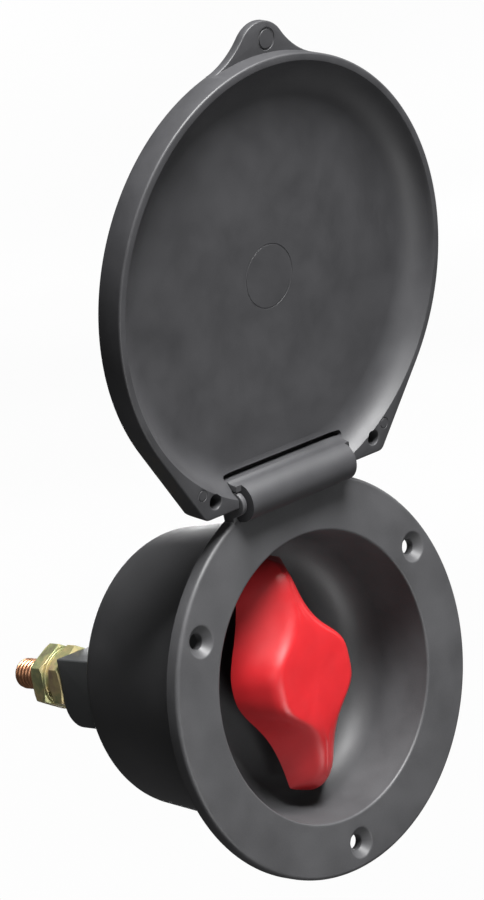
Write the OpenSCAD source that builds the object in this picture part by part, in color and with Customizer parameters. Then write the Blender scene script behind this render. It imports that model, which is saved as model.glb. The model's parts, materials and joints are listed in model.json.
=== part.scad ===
// Battery isolator switch in a round recess cup with a hinged weather lid.
// X is to the right, Y runs into the panel and Z points up towards the hinge.
// The origin is the centre of the flange's back face, where it meets the panel.
// The lid stands open, as it stays when it is let go.

/* [Flange and cup] */
// Outer diameter of the mounting flange
flange_d = 112; // [100:1:130]
// Thickness of the mounting flange
flange_t = 4.5; // [3:0.1:8]
// Diameter of the round opening in the flange
mouth_d = 81; // [70:1:90]
// Depth of the bowl behind the front face
bowl_depth = 25.5; // [24:0.5:30]
// Depth of the cup behind the panel
cup_depth = 53; // [50:1:60]
// Circle through the three panel screw holes
screw_circle_d = 97.7; // [92:0.1:104]
// Diameter of each panel screw hole
screw_hole_d = 4.5; // [3.5:0.1:5.5]
// Diameter of each countersink
countersink_d = 8.8; // [7:0.1:10]

/* [Lid and hinge] */
// Outer diameter of the lid's rim
lid_d = 122; // [118:1:136]
// Depth of the lid over its rim
lid_t = 8.4; // [7:0.1:12]
// Depth of the dish inside the lid
dish_depth = 6.2; // [4:0.1:6.5]
// Angle between the closed lid and the open lid shown
lid_open_angle = 168; // [0:1:175]
// Diameter of the hinge barrel
barrel_d = 10.8; // [8:0.1:12]
// Width across the two hinge lugs
hinge_w = 44.4; // [36:0.1:50]
// Diameter of the steel hinge pin
hinge_pin_d = 3; // [2:0.1:4]

/* [Knob] */
// Length of the knob from tip to tip
knob_length = 71; // [60:0.1:72]
// Width of the knob's flat crown
knob_crown_w = 29; // [24:1:34]
// Height of the knob from its skirt to its crown
knob_height = 12.8; // [10:0.1:16]

/* [Switch body] */
// Diameter of the switch drum
drum_d = 54; // [50:1:60]
// Diameter of the switch body's rear flange
base_flange_d = 66; // [62:1:70]
// Distance between the two terminal studs
stud_spacing = 38; // [34:1:44]
// Thread diameter of the terminal studs
stud_d = 10; // [8:1:12]
// Distance from the panel to the end of the studs
stud_reach = 105.5; // [100:0.5:115]
// Width across flats of the terminal nuts
nut_flats = 17.5; // [13:0.5:19]
// Thickness of each terminal nut
nut_t = 5; // [4:0.5:8]

/* [Hidden] */
$fn = 96;

charcoal = [0.13, 0.13, 0.14];
red = [0.80, 0.06, 0.05];
dark_grey = [0.20, 0.21, 0.22];
steel = [0.66, 0.67, 0.68];
brass = [0.78, 0.62, 0.30];
copper = [0.76, 0.42, 0.25];
zinc_yellow = [0.70, 0.62, 0.30];
rubber_black = [0.06, 0.06, 0.06];

// housing
front_y = -flange_t;
flange_r = flange_d / 2;
flange_edge_r = 1.2;
mouth_edge_r = 0.8;
wall = 3;
bowl_floor_y = front_y + bowl_depth;
bowl_fillet_r = 10;
bowl_draft = 5;
bowl_arc_y = bowl_floor_y - bowl_fillet_r;
bowl_arc_x = mouth_d / 2
    - ((bowl_arc_y - front_y) * sin(bowl_draft) + bowl_fillet_r) / cos(bowl_draft);
skirt_draft = 5;
skirt_corner_r = 4;
skirt_arc_x = 36.4;
skirt_arc_y = cup_depth - skirt_corner_r;
skirt_root_r = skirt_arc_x
    + (skirt_arc_y * sin(skirt_draft) + skirt_corner_r) / cos(skirt_draft);
rear_opening_r = drum_d / 2 + 1;
hollow_front_r = 36.5;
hollow_r = 38.3;
hollow_rear_r = 34.6;
screw_boss_r = 3.6;
screw_boss_y = 41;
screw_angles = [30, 150, 270];

// lid and hinge: the lid is drawn closed, then swung open about the pin
lid_r = lid_d / 2;
rim_y = -3.8;
rim_wall = 2.15;
mouth_lid_r = lid_r - rim_wall;
dish_arc_r = 10.3;
lid_edge_r = 1;
hinge_y = -5.9;
hinge_z = flange_r + 0.3;
barrel_r = barrel_d / 2;
pin_r = hinge_pin_d / 2;
lug_t = 1.6;
lug_r = 3.3;
hinge_gap = 0.3;
notch_r = barrel_r + 0.4;
barrel_half = hinge_w / 2 - lug_t - hinge_gap;
ear_x = 33.3;
ear_u = -54.5;
ear_corner_r = 2.5;
heel_u = ear_u - ear_corner_r;
heel_r = 3;
ear_hole_x = 31;
ear_hole_u = -52.3;
ear_hole_r = 2.1;
tab_r = 9;
tab_u = 60.5;
tab_t = 3;
tab_fillet_r = 24;
slot_u = -49.5;
slot_half = 23;
slot_w = 1.7;
slot_depth = 1.6;

// knob
knob_crown_y = -0.3;
knob_skirt_y = knob_crown_y + knob_height;
knob_half = knob_length / 2;
knob_steps = 96;
knob_foot_tip = 7.6;
knob_foot_bulge = 13;
foot_shift = 2;
foot_full_z = 17;
foot_lean_z = 14.4;
foot_full_power = 2.34;
foot_lean_power = 2.6;
tip_full_r = 9.5;
tip_lean_r = 3;
tip_slant = 0.35;
tip_end_r = 9.5;
tip_crown_r = 3.5;
tip_setback = 2.4;
crown_bend_z = 11.7;
crown_power = 3.9;
crown_bend = 3;
crown_chamfer = 0.35;
crown_border = 1.2;
crown_tip_w = 1.6;
crown_flat = 15;
crown_slope = 0.27;
crown_skew = 0.04;
knob_hub_r = 9;
knob_hub_y = 18.6;
// the knob as shown stands slightly off upright
knob_lean = -3;

// switch body
drum_r = drum_d / 2;
// the switch as mounted stands slightly off level in the cup
switch_lean = 2;
drum_front_y = bowl_floor_y + wall;
cover_rear_y = 44;
chamber_r = 24;
base_flange_r = base_flange_d / 2;
base_flange_t = 3;
base_rear_y = cup_depth + 5;
tower_w = 17;
tower_y = 78.2;
tower_foot = 3.4;
tower_corner_r = 6.5;
stud_r = stud_d / 2;
stud_x = stud_spacing / 2;
stud_head_r = 7;
stud_head_y = 49.3;
stud_head_t = 4;
stud_tip_r = stud_r - 0.4;
stud_end_r = 2.4;
case_screw_at = 20.5;
switch_screw_at = 30.5;
switch_screw_angles = [45, 135, 225, 315];
case_screw_angles = [135, 315];
spindle_r = 4;
bush_r = 6.2;
lock_washer_y = tower_y + nut_t;
lock_washer_t = 1.8;
lock_washer_r = 8.4;
flat_washer_y = lock_washer_y + lock_washer_t;
flat_washer_t = 1;
flat_washer_r = 8.8;
outer_nut_y = flat_washer_y + flat_washer_t;
nut_chamfer = 0.5;
bridge_w = 14;
bridge_half = 22.5;
bridge_y = 45.9;
bridge_t = 3;
rotor_r = 9;
rotor_y = 32.5;
rotor_rear_y = 40.5;
spindle_flat = 0.8;
spindle_front_y = 3.2;
spindle_rear_y = 49.6;
clip_y = 30.3;
clip_t = 1;
clip_groove_r = 3.2;
clip_r = 6.2;
bush_head_r = 9;
bush_rear_y = 30;
seal_r = 0.9;

// turns a shape drawn about Z so that its axis runs along Y, into the panel
module along_y() {
    rotate([-90, 0, 0])
        children();
}

// a round bar along Y from y0 to y1
module bar_y(r, y0, y1, at = [0, 0]) {
    translate([at[0], y0, at[1]])
        along_y()
            cylinder(r = r, h = y1 - y0);
}

// a round bar along X, centred on the hinge axis
module bar_x(r, half) {
    translate([-half, hinge_y, hinge_z])
        rotate([0, 90, 0])
            cylinder(r = r, h = 2 * half);
}

// puts the rear switch's pieces at the angle it is mounted at
module switch_turned() {
    rotate([0, switch_lean, 0])
        children();
}

// profile pieces: x is the radius and y runs into the panel
module flange_profile() {
    difference() {
        translate([0, front_y])
            square([flange_r, flange_t]);
        translate([flange_r - flange_edge_r, front_y])
            difference() {
                translate([0, -0.1])
                    square([flange_edge_r + 0.1, flange_edge_r + 0.1]);
                translate([0, flange_edge_r])
                    circle(r = flange_edge_r);
            }
    }
}

module skirt_profile() {
    polygon([
        [0, -1], [skirt_root_r, -1], [skirt_root_r, 0],
        [skirt_arc_x + skirt_corner_r * cos(skirt_draft),
         skirt_arc_y + skirt_corner_r * sin(skirt_draft)],
        [skirt_arc_x, skirt_arc_y], [skirt_arc_x, cup_depth], [0, cup_depth]
    ]);
    translate([skirt_arc_x, skirt_arc_y])
        circle(r = skirt_corner_r);
}

module bowl_profile() {
    polygon([
        [0, front_y - 1], [mouth_d / 2 + tan(bowl_draft), front_y - 1],
        [bowl_arc_x + bowl_fillet_r * cos(bowl_draft),
         bowl_arc_y + bowl_fillet_r * sin(bowl_draft)],
        [bowl_arc_x, bowl_arc_y], [bowl_arc_x, bowl_floor_y], [0, bowl_floor_y]
    ]);
    intersection() {
        translate([bowl_arc_x, bowl_arc_y])
            circle(r = bowl_fillet_r);
        translate([bowl_arc_x - 1, bowl_arc_y - 5])
            square([bowl_fillet_r + 2, bowl_fillet_r + 6]);
    }
    translate([mouth_d / 2 - 0.1, front_y])
        difference() {
            translate([0, -0.1])
                square([mouth_edge_r + 0.1, mouth_edge_r + 0.1]);
            translate([mouth_edge_r + 0.1, mouth_edge_r])
                circle(r = mouth_edge_r);
        }
}

module hollow_profile() {
    polygon([
        [0, drum_front_y], [hollow_front_r, drum_front_y],
        [hollow_r, drum_front_y + 4], [hollow_r - 1.1, cup_depth - 6],
        [hollow_rear_r, cup_depth - wall], [0, cup_depth - wall]
    ]);
}

// section of a hinge lug: x is the height and y runs into the panel
module lug_section() {
    translate([hinge_z, hinge_y])
        circle(r = lug_r);
    polygon([
        [hinge_z, hinge_y - lug_r], [hinge_z + lug_r, hinge_y],
        [hinge_z + 0.6, -0.4], [48, -0.4], [48, front_y + 0.5],
        [hinge_z - 4, front_y + 0.1], [hinge_z - 3, hinge_y + 0.4]
    ]);
}

module hinge_lug(side) {
    translate([side * (hinge_w / 2 - lug_t / 2) - lug_t / 2, 0, 0])
        mirror([0, 0, 1])
            rotate([0, 90, 0])
                linear_extrude(height = lug_t)
                    lug_section();
}

module housing() {
    color(charcoal)
        difference() {
            union() {
                along_y()
                    rotate_extrude($fn = 180)
                        difference() {
                            union() {
                                flange_profile();
                                skirt_profile();
                            }
                            bowl_profile();
                            hollow_profile();
                        }
                switch_turned()
                    for (a = switch_screw_angles)
                        bar_y(screw_boss_r, screw_boss_y, cup_depth - 1,
                            switch_screw_at * [cos(a), sin(a)]);
                for (side = [-1, 1])
                    hinge_lug(side);
            }
            bar_y(bush_r + 0.05, bowl_floor_y - 1, drum_front_y + 1);
            bar_y(rear_opening_r, cup_depth - wall - 10, cup_depth + 1);
            for (a = screw_angles)
                panel_screw_hole(a);
            switch_turned()
                for (a = switch_screw_angles)
                    bar_y(1.3, 44, cup_depth + 1, switch_screw_at * [cos(a), sin(a)]);
            bar_x(notch_r, barrel_half + hinge_gap / 2);
            bar_x(pin_r + 0.01, hinge_w);
        }
}

module panel_screw_hole(a) {
    at = screw_circle_d / 2 * [cos(a), sin(a)];
    sink = (countersink_d - screw_hole_d) / 2;
    bar_y(screw_hole_d / 2, front_y - 1, 1, at);
    translate([at[0], front_y - 0.01, at[1]])
        along_y()
            cylinder(d1 = countersink_d, d2 = screw_hole_d, h = sink);
}

// lid outline: x is across and y points to the finger tab; the circle stops at the heel
module lid_outline() {
    reach = norm([ear_x, ear_u]);
    turn = atan2(ear_u, ear_x) + acos((lid_r - ear_corner_r) / reach);
    intersection() {
        circle(r = lid_r, $fn = 180);
        translate([-lid_r, heel_u])
            square([lid_d, lid_r - heel_u]);
    }
    for (side = [-1, 1])
        translate([side * ear_x, ear_u])
            circle(r = ear_corner_r, $fn = 32);
    polygon([
        [lid_r * cos(turn), lid_r * sin(turn)],
        [ear_x + ear_corner_r * cos(turn), ear_u + ear_corner_r * sin(turn)],
        [ear_x, ear_u], [ear_x, heel_u], [-ear_x, heel_u], [-ear_x, ear_u],
        [-ear_x - ear_corner_r * cos(turn), ear_u + ear_corner_r * sin(turn)],
        [-lid_r * cos(turn), lid_r * sin(turn)]
    ]);
}

module tab_outline() {
    fillet_reach = lid_r + tab_fillet_r;
    fillet_u = (fillet_reach * fillet_reach - pow(tab_r + tab_fillet_r, 2) + tab_u * tab_u)
        / (2 * tab_u);
    fillet_x = sqrt(fillet_reach * fillet_reach - fillet_u * fillet_u);
    foot = lid_r / fillet_reach;
    lip = tab_r / (tab_r + tab_fillet_r);
    translate([0, tab_u])
        circle(r = tab_r, $fn = 64);
    difference() {
        polygon([
            [-fillet_x * foot, fillet_u * foot], [0, lid_r - 8],
            [fillet_x * foot, fillet_u * foot],
            [fillet_x * lip, tab_u + (fillet_u - tab_u) * lip],
            [-fillet_x * lip, tab_u + (fillet_u - tab_u) * lip]
        ]);
        for (side = [-1, 1])
            translate([side * fillet_x, fillet_u])
                circle(r = tab_fillet_r);
    }
}

// dish profile: x is the radius and y is the depth from the rim
module dish_profile() {
    arc_x = mouth_lid_r - sqrt(pow(dish_arc_r, 2) - pow(dish_arc_r - dish_depth, 2));
    translate([0, -1])
        square([arc_x, dish_depth + 1]);
    intersection() {
        translate([arc_x, dish_depth - dish_arc_r])
            circle(r = dish_arc_r, $fn = 180);
        square([mouth_lid_r + 5, dish_depth]);
    }
    translate([0, -1])
        square([mouth_lid_r, 1.001]);
}

// section of the web from the dish floor to the barrel: x is the height, y the depth
module barrel_web_section() {
    axis_u = -hinge_z;
    axis_d = rim_y - hinge_y;
    web_r = 4;
    web_d = dish_depth - web_r;
    web_u = axis_u + sqrt(pow(barrel_r + web_r, 2) - pow(axis_d - web_d, 2));
    difference() {
        polygon([[axis_u, axis_d], [axis_u, lid_t], [web_u, lid_t],
            [web_u, dish_depth], [web_u, web_d]]);
        translate([web_u, web_d])
            circle(r = web_r);
    }
}

// the lid in its own frame: x across, y to the tab, z the depth from the rim
module lid_blank() {
    difference() {
        union() {
            linear_extrude(height = lid_t)
                lid_outline();
            translate([0, 0, lid_t - tab_t])
                linear_extrude(height = tab_t)
                    tab_outline();
        }
        rotate_extrude($fn = 180)
            dish_profile();
        rotate_extrude($fn = 180)
            translate([lid_r - lid_edge_r, lid_t - lid_edge_r])
                difference() {
                    square(lid_edge_r + 0.2);
                    circle(r = lid_edge_r);
                }
    }
}

module lid_web() {
    translate([-barrel_half, 0, 0])
        rotate([90, 0, 90])
            linear_extrude(height = 2 * barrel_half)
                barrel_web_section();
    for (side = [-1, 1])
        translate([side > 0 ? barrel_half - 0.5 : -hinge_w / 2, 0, 0])
            rotate([90, 0, 90])
                linear_extrude(height = lug_t + hinge_gap + 0.5)
                    barrel_web_section();
}

// rounds off the lid's heel so that it swings clear of the panel
module heel_corner() {
    difference() {
        translate([heel_u - 0.5, lid_t - heel_r])
            square(heel_r + 0.5);
        translate([heel_u + heel_r, lid_t - heel_r])
            circle(r = heel_r);
    }
}

module lid_closed() {
    translate([0, rim_y, 0])
        rotate([90, 0, 0])
            mirror([0, 1, 0])
                difference() {
                    union() {
                        lid_blank();
                        lid_web();
                    }
                    for (side = [-1, 1])
                        translate([side * ear_hole_x, ear_hole_u, -1])
                            cylinder(r = ear_hole_r, h = 5.5, $fn = 32);
                    translate([-slot_half, slot_u - slot_w / 2, 2])
                        cube([2 * slot_half, slot_w, dish_depth - 2 + slot_depth]);
                    translate([-lid_r, 0, 0])
                        rotate([90, 0, 90])
                            linear_extrude(height = lid_d)
                                heel_corner();
                }
}

// room for a hinge lug; the dish floor runs on above it when the lid is open
module lug_pocket() {
    half = lug_t / 2 + hinge_gap;
    bar_x(lug_r + 0.45, half);
    difference() {
        bar_x(notch_r, half);
        translate([-half - 1, hinge_y - notch_r - 1, hinge_z - notch_r - 1])
            cube([2 * half + 2, notch_r + 2, notch_r - 0.5]);
    }
}

module lid() {
    color(charcoal)
        translate([0, hinge_y, hinge_z])
            rotate([-lid_open_angle, 0, 0])
                translate([0, -hinge_y, -hinge_z])
                    difference() {
                        union() {
                            lid_closed();
                            bar_x(barrel_r, hinge_w / 2);
                        }
                        bar_x(pin_r + 0.06, hinge_w);
                        for (side = [-1, 1])
                            translate([side * (hinge_w / 2 - lug_t / 2), 0, 0])
                                lug_pocket();
                    }
}

module hinge_pin() {
    color(steel)
        bar_x(pin_r, hinge_w / 2);
}

// half width of the knob's crown at height z on its long axis
function crown_half(z) = crown_tip_w + (knob_crown_w / 2 - crown_tip_w)
    / (1 + pow(abs(z) / crown_bend_z, crown_power));
// half width of its foot, which is fuller on the side where s is positive
function skirt_half(s) = knob_foot_tip + knob_foot_bulge / (1 + (s > foot_shift
    ? pow((s - foot_shift) / foot_full_z, foot_full_power)
    : pow((foot_shift - s) / foot_lean_z, foot_lean_power)));
function tip_round(z, reach, r) = abs(z) < reach - r ? 1
    : sqrt(max(0, 1 - pow((abs(z) - reach + r) / r, 2)));
// on its leaner side the end of each tip slants back
function tip_cut(x, z, reach) = x * z < 0 ? z
    : z - sign(z) * tip_slant * abs(x) * pow(abs(z) / reach, 8);
// the crown is flat in the middle and slopes away towards the tips, whose ends are round
function crown_y(z) = knob_crown_y + crown_slope / 2
    * (norm([abs(z) - crown_flat, crown_bend]) + abs(z) - crown_flat);

// one ring round the knob, from its foot at t = 0 to its crown at t = 1
function knob_ring(t, inset) = [
    for (i = [0 : knob_steps - 1])
        let (
            s = 360 * i / knob_steps,
            reach = knob_half - tip_setback * (1 - pow(1 - t, 2)) - inset,
            z = reach * sin(s) * (1 - 0.18 * pow(cos(s), 2)),
            side = cos(s) >= 0 ? 1 : -1,
            full = skirt_half(-side * z) * (1 - t) + crown_half(z) * t,
            foot_r = side * z < 0 ? tip_full_r : tip_lean_r,
            tip_r = foot_r * (1 - t) + tip_crown_r * t,
            x = side * max(0, full - inset) * tip_round(z, reach, tip_r),
            y = knob_skirt_y
                + (crown_y(z) - knob_skirt_y) * t * tip_round(z, knob_half, tip_end_r)
        )
        [x + crown_skew * z * t, y, tip_cut(x, z, reach)]
];

module knob_shell() {
    levels = [[0, 0], [0.25, 0], [0.5, 0], [0.75, 0], [0.93, 0], [1, crown_chamfer],
        [1, crown_border]];
    rings = [for (l = levels) knob_ring(l[0], l[1])];
    n = knob_steps;
    top = len(levels) - 1;
    points = concat([for (ring = rings) each ring], [[0, knob_skirt_y, 0]]);
    sides = [
        for (k = [0 : top - 1], i = [0 : n - 1])
            let (j = (i + 1) % n)
                each [[k * n + i, (k + 1) * n + i, (k + 1) * n + j],
                      [k * n + i, (k + 1) * n + j, k * n + j]]
    ];
    base = [for (i = [0 : n - 1]) [n * (top + 1), i, (i + 1) % n]];
    quarter = n / 4;
    crown = [
        for (i = [0 : n / 2 - 1])
            let (
                a = top * n + (n - quarter + i) % n,
                b = top * n + (n - quarter + i + 1) % n,
                c = top * n + (2 * n - quarter - i - 1) % n,
                d = top * n + (2 * n - quarter - i) % n
            )
            each (i == 0 ? [[a, c, b]] : i == n / 2 - 1 ? [[a, d, b]]
                : [[a, d, b], [b, d, c]])
    ];
    polyhedron(points = points, faces = concat(sides, base, crown));
}

module knob() {
    color(red)
        rotate([0, knob_lean, 0])
        difference() {
            union() {
                knob_shell();
                bar_y(knob_hub_r, knob_skirt_y - 0.5, knob_hub_y);
            }
            difference() {
                bar_y(spindle_r + 0.02, spindle_front_y - 0.2, 20);
                translate([-spindle_r - 1, 2, spindle_r - spindle_flat + 0.02])
                    cube([2 * spindle_r + 2, 16, 2]);
            }
        }
}

module spindle() {
    color(steel)
        difference() {
            bar_y(spindle_r, spindle_front_y, spindle_rear_y);
            rotate([0, knob_lean, 0])
                translate([-spindle_r - 1, 3, spindle_r - spindle_flat])
                    cube([2 * spindle_r + 2, knob_hub_y - 2.8, 2]);
            translate([-spindle_r - 1, rotor_y - 0.5, spindle_r - spindle_flat])
                cube([2 * spindle_r + 2, 20, 2]);
            translate([0, clip_y - 0.1, 0])
                along_y()
                    difference() {
                        cylinder(r = spindle_r + 1, h = clip_t + 0.2);
                        translate([0, 0, -1])
                            cylinder(r = clip_groove_r, h = 4);
                    }
        }
}

module spindle_bush() {
    color(brass)
        difference() {
            union() {
                bar_y(bush_head_r, bowl_floor_y - 1.6, bowl_floor_y);
                bar_y(bush_r, bowl_floor_y - 0.1, bush_rear_y);
            }
            bar_y(spindle_r + 0.04, bowl_floor_y - 3, bush_rear_y + 1);
            bar_y(bush_r - 0.3, bush_rear_y - 2.2, bush_rear_y + 1);
        }
}

module spindle_seal() {
    color(rubber_black)
        translate([0, bush_rear_y - 1.1, 0])
            along_y()
                rotate_extrude()
                    translate([spindle_r + seal_r + 0.05, 0])
                        circle(r = seal_r, $fn = 32);
}

module retaining_clip() {
    color(steel)
        difference() {
            bar_y(clip_r, clip_y, clip_y + clip_t);
            bar_y(clip_groove_r + 0.05, clip_y - 1, clip_y + clip_t + 1);
            translate([-2.4, clip_y - 0.3, 0])
                cube([4.8, clip_t + 1, clip_r + 2]);
        }
}

module rotor() {
    color(dark_grey)
        difference() {
            union() {
                bar_y(rotor_r, rotor_y, rotor_rear_y);
                for (side = [-1, 1])
                    rotor_prong(side);
            }
            difference() {
                bar_y(spindle_r + 0.02, rotor_y - 1, rotor_rear_y + 1);
                translate([-spindle_r - 1, rotor_y - 2, spindle_r - spindle_flat + 0.02])
                    cube([2 * spindle_r + 2, 12, 2]);
            }
        }
}

// a prong that reaches beside the contact bridge and turns it
module rotor_prong(side) {
    prong_x = bridge_w / 2 + 0.1;
    prong_t = 2.4;
    translate([side > 0 ? prong_x : -prong_x - prong_t, rotor_rear_y - 3, -3])
        cube([prong_t, bridge_y + bridge_t - rotor_rear_y + 2.4, 6]);
    translate([side > 0 ? prong_x - 1 : -prong_x - prong_t, rotor_rear_y - 3, -3])
        cube([prong_t + 1, 3, 6]);
}

module contact_bridge() {
    color(copper)
        difference() {
            translate([-bridge_w / 2, bridge_y, -bridge_half])
                cube([bridge_w, bridge_t, 2 * bridge_half]);
            bar_y(spindle_r + 0.2, bridge_y - 1, bridge_y + bridge_t + 1);
        }
}

// turns of the contact spring, each a closed ring of wire
module contact_spring() {
    color(steel)
        for (k = [0 : 3])
            translate([0, 41.2 + 1.28 * k, 0])
                along_y()
                    rotate_extrude()
                        translate([6.2, 0])
                            circle(r = 0.6, $fn = 24);
}

module switch_cover() {
    color(dark_grey)
        switch_turned()
        difference() {
            union() {
                difference() {
                    bar_y(drum_r, drum_front_y, cover_rear_y);
                    bar_y(chamber_r, drum_front_y + wall, cover_rear_y + 1);
                }
                for (a = case_screw_angles)
                    bar_y(3.4, drum_front_y + 1, cover_rear_y,
                        case_screw_at * [cos(a), sin(a)]);
            }
            bar_y(bush_r + 0.05, drum_front_y - 1, drum_front_y + wall + 1);
            for (a = case_screw_angles)
                bar_y(1.25, 34, cover_rear_y + 1, case_screw_at * [cos(a), sin(a)]);
        }
}

module switch_base() {
    color(dark_grey)
        switch_turned()
        difference() {
            union() {
                bar_y(drum_r, cover_rear_y, base_rear_y);
                bar_y(base_flange_r, cup_depth, cup_depth + base_flange_t);
                for (side = [-1, 1])
                    terminal_tower(side * stud_x);
                translate([-2, base_rear_y - 1, -14])
                    cube([4, tower_y - base_rear_y + 1, 28]);
            }
            bar_y(chamber_r, cover_rear_y - 1, 50);
            for (side = [-1, 1]) {
                bar_y(stud_r + 0.02, 49, tower_y + 1, [side * stud_x, 0]);
                intersection() {
                    bar_y(stud_head_r + 0.1, 49, stud_head_y + stud_head_t,
                        [side * stud_x, 0]);
                    bar_y(drum_r - 1, 40, 60);
                }
            }
            for (a = switch_screw_angles)
                bar_y(1.7, cup_depth - 1, cup_depth + 4, switch_screw_at * [cos(a), sin(a)]);
            for (a = case_screw_angles) {
                bar_y(1.55, 43, base_rear_y + 1, case_screw_at * [cos(a), sin(a)]);
                bar_y(3.1, base_rear_y - 2.2, base_rear_y + 13,
                    case_screw_at * [cos(a), sin(a)]);
            }
        }
}

// section of a terminal tower: x is the height and y runs to the rear
module tower_section() {
    foot = -tower_w / 2 - tower_foot;
    corner = [foot + tower_corner_r, tower_y - tower_corner_r];
    polygon([
        [foot, base_rear_y - 1], [tower_w / 2, base_rear_y - 1], [tower_w / 2, tower_y],
        [corner[0], tower_y], corner, [foot, corner[1]]
    ]);
    translate(corner)
        circle(r = tower_corner_r, $fn = 48);
}

module terminal_tower(x) {
    translate([x - tower_w / 2, 0, 0])
        mirror([0, 0, 1])
            rotate([0, 90, 0])
                linear_extrude(height = tower_w)
                    tower_section();
}

// a cheese-head screw along Y: the head's back face is at head_y
module screw(at, tip_y, head_y, shank_r, head_r, head_t) {
    difference() {
        union() {
            bar_y(shank_r, tip_y, head_y - head_t + 0.1, at);
            bar_y(head_r, head_y - head_t, head_y, at);
        }
        translate([at[0] - 0.35, head_y - 0.8, at[1] - head_r])
            cube([0.7, 1, 2 * head_r]);
    }
}

module case_screws() {
    color(steel)
        switch_turned()
        for (a = case_screw_angles)
            screw(case_screw_at * [cos(a), sin(a)], 35, base_rear_y - 0.2, 1.2, 2.8, 2);
}

module switch_screws() {
    color(steel)
        switch_turned()
        for (a = switch_screw_angles)
            screw(switch_screw_at * [cos(a), sin(a)], 45, cup_depth + base_flange_t + 2,
                1.25, 2.8, 2);
}

module stud(side) {
    color(copper)
        switch_turned()
        translate([side * stud_x, 0, 0]) {
            intersection() {
                bar_y(stud_head_r, stud_head_y, stud_head_y + stud_head_t - 0.1);
                translate([-side * stud_x, 0, 0])
                    bar_y(drum_r - 1.1, 40, 60);
            }
            bar_y(stud_r, stud_head_y + 1, outer_nut_y + nut_t);
            bar_y(stud_tip_r, outer_nut_y, stud_reach - stud_end_r);
            stud_end();
        }
}

// the rounded free end of a stud
module stud_end() {
    flat_r = stud_tip_r - stud_end_r;
    translate([0, stud_reach - stud_end_r, 0])
        along_y()
            rotate_extrude()
                union() {
                    translate([0, -1])
                        square([flat_r, stud_end_r + 1]);
                    translate([0, -1])
                        square([stud_tip_r, 1]);
                    intersection() {
                        translate([flat_r, 0])
                            circle(r = stud_end_r, $fn = 48);
                        square([stud_tip_r, stud_end_r]);
                    }
                }
}

module stud_left() {
    stud(-1);
}

module stud_right() {
    stud(1);
}

module hex_nut(y0) {
    corner_r = nut_flats / sqrt(3);
    edge_r = corner_r - nut_chamfer;
    difference() {
        intersection() {
            translate([0, y0, 0])
                along_y()
                    rotate(30)
                        cylinder(r = corner_r, h = nut_t, $fn = 6);
            translate([0, y0, 0])
                along_y()
                    union() {
                        cylinder(r1 = edge_r, r2 = edge_r + nut_t, h = nut_t / 2);
                        translate([0, 0, nut_t / 2])
                            cylinder(r1 = edge_r + nut_t, r2 = edge_r, h = nut_t / 2);
                    }
        }
        bar_y(stud_r + 0.02, y0 - 1, y0 + nut_t + 1);
    }
}

module at_both_studs() {
    switch_turned()
        for (side = [-1, 1])
            translate([side * stud_x, 0, 0])
                children();
}

module inner_nuts() {
    color(zinc_yellow)
        at_both_studs()
            hex_nut(tower_y);
}

module lock_washers() {
    color(zinc_yellow)
        at_both_studs()
            difference() {
                bar_y(lock_washer_r, lock_washer_y, lock_washer_y + lock_washer_t);
                bar_y(stud_r + 0.1, lock_washer_y - 1, lock_washer_y + lock_washer_t + 1);
                translate([0, lock_washer_y + lock_washer_t / 2, 0])
                    rotate([0, -50, 25])
                        translate([0, -0.5, -0.5])
                            cube([12, 1, 1]);
            }
}

module flat_washers() {
    color(zinc_yellow)
        at_both_studs()
            difference() {
                bar_y(flat_washer_r, flat_washer_y, flat_washer_y + flat_washer_t);
                bar_y(stud_r + 0.2, flat_washer_y - 1, flat_washer_y + flat_washer_t + 1);
            }
}

module outer_nuts() {
    color(zinc_yellow)
        at_both_studs()
            hex_nut(outer_nut_y);
}

housing();
lid();
hinge_pin();
knob();
spindle();
spindle_bush();
spindle_seal();
retaining_clip();
rotor();
contact_bridge();
contact_spring();
switch_cover();
switch_base();
case_screws();
switch_screws();
stud_left();
stud_right();
inner_nuts();
lock_washers();
flat_washers();
outer_nuts();
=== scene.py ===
"""Looks of the battery isolator switch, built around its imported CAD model.

Shapes are drawn in millimetres in the model's own frame: X to the right, Y into the panel,
Z up to the hinge, from the centre of the flange's back face. to_object() makes them metres.
"""

import json
import math

import bmesh
import bpy
from mathutils import Euler, Matrix, Vector


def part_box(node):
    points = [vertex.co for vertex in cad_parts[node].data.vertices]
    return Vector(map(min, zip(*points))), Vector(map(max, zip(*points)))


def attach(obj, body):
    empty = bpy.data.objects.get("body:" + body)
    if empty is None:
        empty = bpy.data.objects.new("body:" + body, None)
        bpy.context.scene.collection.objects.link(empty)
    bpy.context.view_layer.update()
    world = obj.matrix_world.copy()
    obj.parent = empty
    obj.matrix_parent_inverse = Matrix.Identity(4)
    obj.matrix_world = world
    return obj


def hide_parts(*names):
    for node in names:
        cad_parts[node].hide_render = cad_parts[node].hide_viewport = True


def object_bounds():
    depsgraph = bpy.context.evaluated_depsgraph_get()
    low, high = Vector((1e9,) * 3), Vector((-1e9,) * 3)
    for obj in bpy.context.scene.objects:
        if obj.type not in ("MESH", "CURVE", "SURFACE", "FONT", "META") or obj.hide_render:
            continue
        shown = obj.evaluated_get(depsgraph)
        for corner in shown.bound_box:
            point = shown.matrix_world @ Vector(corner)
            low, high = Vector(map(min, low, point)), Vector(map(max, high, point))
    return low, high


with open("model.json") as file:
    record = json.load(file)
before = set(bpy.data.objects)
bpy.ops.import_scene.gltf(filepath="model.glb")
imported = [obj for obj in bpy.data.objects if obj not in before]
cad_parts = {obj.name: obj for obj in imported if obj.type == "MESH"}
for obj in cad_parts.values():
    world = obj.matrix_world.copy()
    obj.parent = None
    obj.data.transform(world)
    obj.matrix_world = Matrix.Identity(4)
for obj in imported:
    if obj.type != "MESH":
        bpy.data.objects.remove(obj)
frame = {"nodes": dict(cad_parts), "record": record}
cad_low, cad_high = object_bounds()

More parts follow.
